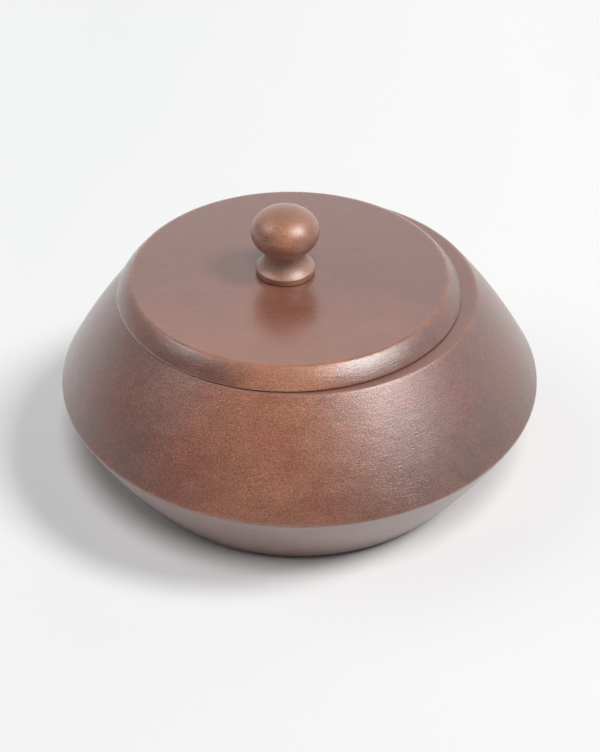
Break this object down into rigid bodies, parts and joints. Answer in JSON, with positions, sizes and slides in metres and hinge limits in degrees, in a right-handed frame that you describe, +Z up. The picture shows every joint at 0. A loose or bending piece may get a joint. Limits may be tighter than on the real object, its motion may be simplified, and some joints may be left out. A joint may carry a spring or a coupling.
{
  "type": "lidded bowl",
  "caption": "Turned hardwood bowl with sloping sides that meet at a crisp belly, a loose drop-in lid with a bevelled edge, and a round knob screwed on from below.",
  "frame": {"origin": "centre of the bowl's flat base, on the surface it stands on", "axes": "+Z up along the bowl's own turning axis; +X to the right and +Y away, as seen in the reference view"},
  "size_m": [0.2094, 0.2094, 0.1213],
  "materials": {
    "bowl_wood": "red-brown stained close-grained hardwood under satin lacquer",
    "lid_wood": "red-brown stained close-grained hardwood under smooth satin lacquer",
    "knob_wood": "orange-brown stained close-grained hardwood under satin lacquer",
    "screw_steel": "zinc-plated"
  },
  "bodies": {
    "bowl": {"bowl": "bowl_wood"},
    "lid": {"lid": "lid_wood", "knob": "knob_wood", "knob_screw": "screw_steel"}
  },
  "joints": [
    {"name": "lid_lift", "type": "slide", "parent": "bowl", "child": "lid", "axis": [0, 0, 1], "range_m": [0, 0.12]}
  ]
}
